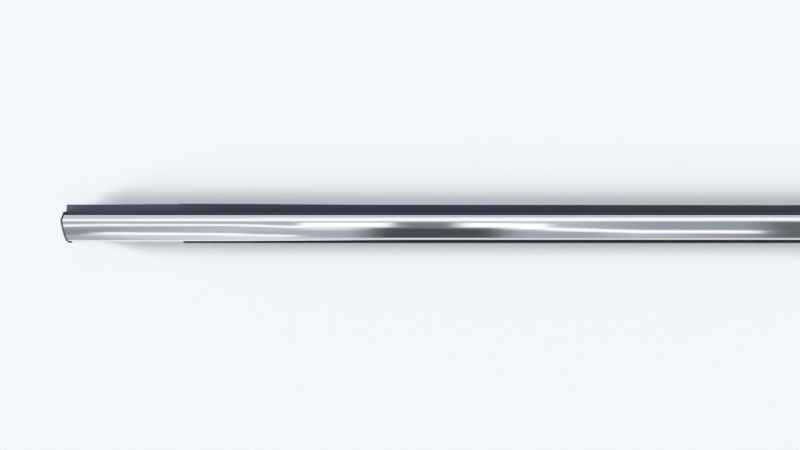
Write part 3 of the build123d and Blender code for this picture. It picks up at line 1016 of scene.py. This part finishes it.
def studio_light(tree, level, backdrop):
    """Even light all round, and for polished surfaces the soft boxes of a small studio."""
    tree.nodes.clear()
    smooth = {"interpolation_type": "SMOOTHSTEP"}
    direction = add(tree, "TexCoord").outputs["Generated"]
    x, y, z = add(tree, "SeparateXYZ", {"Vector": direction}).outputs

    # Place on the ceiling: along the moulding, and across it
    above = add(tree, "Math", {0: z, 1: HORIZON}, operation="MAXIMUM")
    along = add(tree, "Math", {0: x, 1: above}, operation="DIVIDE")
    across = add(tree, "Math", {0: y, 1: above}, operation="DIVIDE")
    light = opaque(linear(CEILING))
    for centre, offset, half, wide, soft, blur, drift, colour in CARDS:
        aside = add(tree, "Math", {0: along, 1: centre}, operation="SUBTRACT")
        middle = {0: aside, 1: drift, 2: offset}
        line = add(tree, "Math", middle, operation="MULTIPLY_ADD")
        over = add(tree, "Math", {0: across, 1: line}, operation="SUBTRACT")
        share = 1.0
        for place, reach, edge in ((aside, half, soft), (over, wide, blur)):
            away = add(tree, "Math", {0: place}, operation="ABSOLUTE")
            fall = {"Value": away, "From Min": reach + edge / 2, "From Max": reach - edge / 2}
            fall["To Max"] = share
            share = add(tree, "MapRange", fall, **smooth)
        shades = {SHARE: share, FIRST: light, SECOND: opaque(linear(colour))}
        light = add(tree, "Mix", shades, data_type="RGBA").outputs[MIXED]

    # End walls
    rise = {"Value": z, "From Min": WALL_RISE[0], "From Max": WALL_RISE[1]}
    shades = {FIRST: opaque(linear(WALL_FOOT)), SECOND: opaque(linear(WALL_TOP))}
    shades[SHARE] = add(tree, "MapRange", rise, **smooth)
    wall = add(tree, "Mix", shades, data_type="RGBA").outputs[MIXED]
    length = add(tree, "Math", {0: x}, operation="ABSOLUTE")
    edge = {"Value": length, "From Min": WALL_EDGE[0], "From Max": WALL_EDGE[1]}
    shades = {SHARE: add(tree, "MapRange", edge, **smooth), FIRST: light, SECOND: wall}
    light = add(tree, "Mix", shades, data_type="RGBA").outputs[MIXED]

    rays = add(tree, "LightPath").outputs
    even = add(tree, "Background", {"Color": (1.0, 1.0, 1.0, 1.0), "Strength": level})
    mirrored = add(tree, "Background", {"Color": light, "Strength": MIRRORED})
    seen = add(tree, "Background", {"Color": opaque(backdrop), "Strength": 1.0})
    whole = add(tree, "MixShader", {0: rays["Is Glossy Ray"], 1: even, 2: mirrored})
    whole = add(tree, "MixShader", {0: rays["Is Camera Ray"], 1: whole, 2: seen})
    add(tree, "OutputWorld", {"Surface": whole})


# Operators


class MOULDING_OT_bright_strip(bpy.types.Operator):
    """Fold the bright steel strip over the carrier"""

    bl_idname = "moulding.bright_strip"
    bl_label = "Bright Strip"

    def execute(self, context):
        section = Section(context.scene)
        name = "bright_strip_folded"
        outline = section.strip_outline()
        mesh = sweep(name, outline, section.body_start, HALF_LENGTH - section.end_depth)
        steel = rolled_stainless_steel(context.scene.moulding_colours)
        placed(name, mesh, section, [steel], "bright_strip")
        return {"FINISHED"}


class MOULDING_OT_carrier(bpy.types.Operator):
    """Extrude the black carrier with its channel, ribs and barb"""

    bl_idname = "moulding.carrier"
    bl_label = "Carrier"

    def execute(self, context):
        section = Section(context.scene)
        name = "carrier_extrusion"
        outline = divided(section.carrier_outline(), FILL_SPACING)
        mesh = sweep(name, outline, section.body_start, HALF_LENGTH - section.end_depth)
        plastic = extruded_polypropylene(context.scene.moulding_colours)
        placed(name, mesh, section, [plastic], "carrier")
        return {"FINISHED"}


class MOULDING_OT_top_lip(bpy.types.Operator):
    """Extrude the flat lip beside the bright face, trimmed and bare at the raked end"""

    bl_idname = "moulding.top_lip"
    bl_label = "Top Lip"

    def execute(self, context):
        section = Section(context.scene)
        name = "top_lip_soft"
        low, high = TOP_LIP_BOX
        trim_end = low.x + section.lips.trim_length
        slant = section.lips.trim_slant
        bare_end = trim_end + slant / 2
        stations = (trim_end, bare_end, trim_end + slant)
        outline = section.top_lip_outline
        mesh = sweep(name, outline, low.x, high.x, TOP_LIP_END, stations)
        # The flock begins with the bare rubber's painted sheen blended into it
        flock = flocked_rubber(context.scene.moulding_colours, bare_end)
        bare = bare_rubber(context.scene.moulding_colours)
        lip = placed(name, mesh, section, [flock, bare], "top_lip")
        for face in lip.data.polygons:
            face.material_index = 1 if face.center.x < bare_end else 0
        return {"FINISHED"}


class MOULDING_OT_panel_lip(bpy.types.Operator):
    """Extrude the thin lip under the bright face"""

    bl_idname = "moulding.panel_lip"
    bl_label = "Panel Lip"

    def execute(self, context):
        section = Section(context.scene)
        name = "panel_lip_soft"
        low, high = PANEL_LIP_BOX
        mesh = sweep(name, section.panel_lip_outline, low.x, high.x, PANEL_LIP_END)
        rubber = black_elastomer(context.scene.moulding_colours)
        placed(name, mesh, section, [rubber], "panel_lip")
        return {"FINISHED"}


class MOULDING_OT_glass_lips(bpy.types.Operator):
    """Extrude the two curved lips that press on the glass"""

    bl_idname = "moulding.glass_lips"
    bl_label = "Glass Lips"

    def execute(self, context):
        section = Section(context.scene)
        lips = section.lips
        flock = flocked_rubber(context.scene.moulding_colours)
        reach = HALF_LENGTH - lips.glass_setback
        roots = {"upper_glass_lip": lips.upper_root, "lower_glass_lip": lips.lower_root}
        for node, root in roots.items():
            name = node + "_soft"
            mesh = sweep(name, section.glass_lip_outline(root), -reach, reach)
            placed(name, mesh, section, [flock], node)
        return {"FINISHED"}


class MOULDING_OT_end_caps(bpy.types.Operator):
    """Mould the raked cap and the square cap"""

    bl_idname = "moulding.end_caps"
    bl_label = "End Caps"

    def execute(self, context):
        section = Section(context.scene)
        cap = section.cap
        nylon = moulded_nylon(context.scene.moulding_colours)
        plate = divided(section.plate_outline(), CAP_SPACING)
        tab = divided(section.tab_outline(), TAB_SPACING)
        plug = divided(section.plug_outline(), CAP_SPACING)
        middle = cap.thickness / 2

        def raked(depth_in):
            """A surface like the raked cap's outer face, at a depth inside it."""
            return lambda across, depth: section.cap_rake(across, depth_in + depth)

        name = "end_cap_left_moulded"
        tab_end = section.rake(section.side) + cap.tab_length
        left = united(
            sweep(
                name,
                plate,
                raked(0.0),
                lambda across, depth: section.cap_rake(across, cap.thickness),
                cap.edge_radius,
            ),
            sweep("tab", tab, raked(TAB_RECESS), tab_end, TAB_END),
            sweep("plug", plug, raked(middle), cap.plug_length - HALF_LENGTH),
        )
        placed(name, left, section, [nylon], "end_cap_left")

        name = "end_cap_right_moulded"
        tab_start = HALF_LENGTH - cap.tab_length
        right = united(
            sweep(
                name,
                plate,
                lambda across, depth: HALF_LENGTH - cap.thickness,
                HALF_LENGTH,
                cap.edge_radius,
            ),
            sweep("tab", tab, tab_start, HALF_LENGTH - TAB_RECESS, TAB_END),
            sweep("plug", plug, HALF_LENGTH - cap.plug_length, HALF_LENGTH - middle),
        )
        placed(name, right, section, [nylon], "end_cap_right")
        return {"FINISHED"}


class MOULDING_OT_stage(bpy.types.Operator):
    """Set up the floor, the soft light and the camera over the moulding"""

    bl_idname = "moulding.stage"
    bl_label = "Stage"

    def execute(self, context):
        scene = context.scene
        stage = scene.moulding_stage
        mesh = bpy.data.meshes.new("floor")
        corners = [(x * FLOOR_REACH, y * FLOOR_REACH, 0) for x, y in SQUARE]
        mesh.from_pydata(corners, [], [range(len(corners))])
        floor = bpy.data.objects.new("floor", mesh)
        scene.collection.objects.link(floor)
        mesh.materials.append(pale_laminate(scene.moulding_colours))
        for name, turn, spread, share in LAMPS:
            lamp = bpy.data.lights.new(name, "SUN")
            lamp.energy = share * stage.key * pi / sin(LAMP_HEIGHT)
            lamp.angle = radians(spread)
            light = bpy.data.objects.new(name, lamp)
            turn = radians(turn)
            towards = Vector((-cos(turn), -sin(turn), tan(LAMP_HEIGHT)))
            light.rotation_euler = towards.to_track_quat("Z", "Y").to_euler()
            scene.collection.objects.link(light)
        scene.world = bpy.data.worlds.new("studio")
        scene.world.use_nodes = True
        studio_light(scene.world.node_tree, stage.sky, scene.moulding_colours.floor)
        eye = bpy.data.cameras.new("camera")
        eye.lens = stage.lens
        eye.sensor_width = SENSOR_WIDTH
        eye.clip_start = CLIP_START
        camera = bpy.data.objects.new("camera", eye)
        camera.location = (stage.camera_place, stage.camera_shift, stage.camera_height)
        scene.collection.objects.link(camera)
        scene.camera = camera
        scene.view_settings.view_transform = "Standard"
        return {"FINISHED"}


# Panel


class VIEW3D_PT_moulding(bpy.types.Panel):
    """Sizes, colours and steps of the window moulding"""

    bl_label = "Window Moulding"
    bl_idname = "VIEW3D_PT_moulding"
    bl_space_type = "VIEW_3D"
    bl_region_type = "UI"
    bl_category = "Moulding"

    def draw(self, context):
        layout = self.layout
        for title, name, group in GROUPS:
            box = layout.box()
            box.label(text=title)
            settings = getattr(context.scene, name)
            for key in group.__annotations__:
                box.prop(settings, key)
        for operator in STEPS:
            layout.operator(operator.bl_idname)


GROUPS = (
    ("Bright strip", "moulding_strip", MouldingStripSizes),
    ("Carrier", "moulding_carrier", MouldingCarrierSizes),
    ("Lips", "moulding_lips", MouldingLipSizes),
    ("End caps", "moulding_cap", MouldingCapSizes),
    ("Colours", "moulding_colours", MouldingColours),
    ("Stage", "moulding_stage", MouldingStage),
)
STEPS = (
    MOULDING_OT_bright_strip,
    MOULDING_OT_carrier,
    MOULDING_OT_top_lip,
    MOULDING_OT_panel_lip,
    MOULDING_OT_glass_lips,
    MOULDING_OT_end_caps,
    MOULDING_OT_stage,
)


def register():
    for title, name, group in GROUPS:
        bpy.utils.register_class(group)
        setattr(bpy.types.Scene, name, bpy.props.PointerProperty(type=group))
    for operator in STEPS:
        bpy.utils.register_class(operator)
    bpy.utils.register_class(VIEW3D_PT_moulding)


def unregister():
    bpy.utils.unregister_class(VIEW3D_PT_moulding)
    for operator in reversed(STEPS):
        bpy.utils.unregister_class(operator)
    for title, name, group in reversed(GROUPS):
        delattr(bpy.types.Scene, name)
        bpy.utils.unregister_class(group)


def main():
    register()
    bpy.ops.moulding.bright_strip()
    bpy.ops.moulding.carrier()
    bpy.ops.moulding.top_lip()
    bpy.ops.moulding.panel_lip()
    bpy.ops.moulding.glass_lips()
    bpy.ops.moulding.end_caps()
    bpy.ops.moulding.stage()


if __name__ == "__main__":
    main()
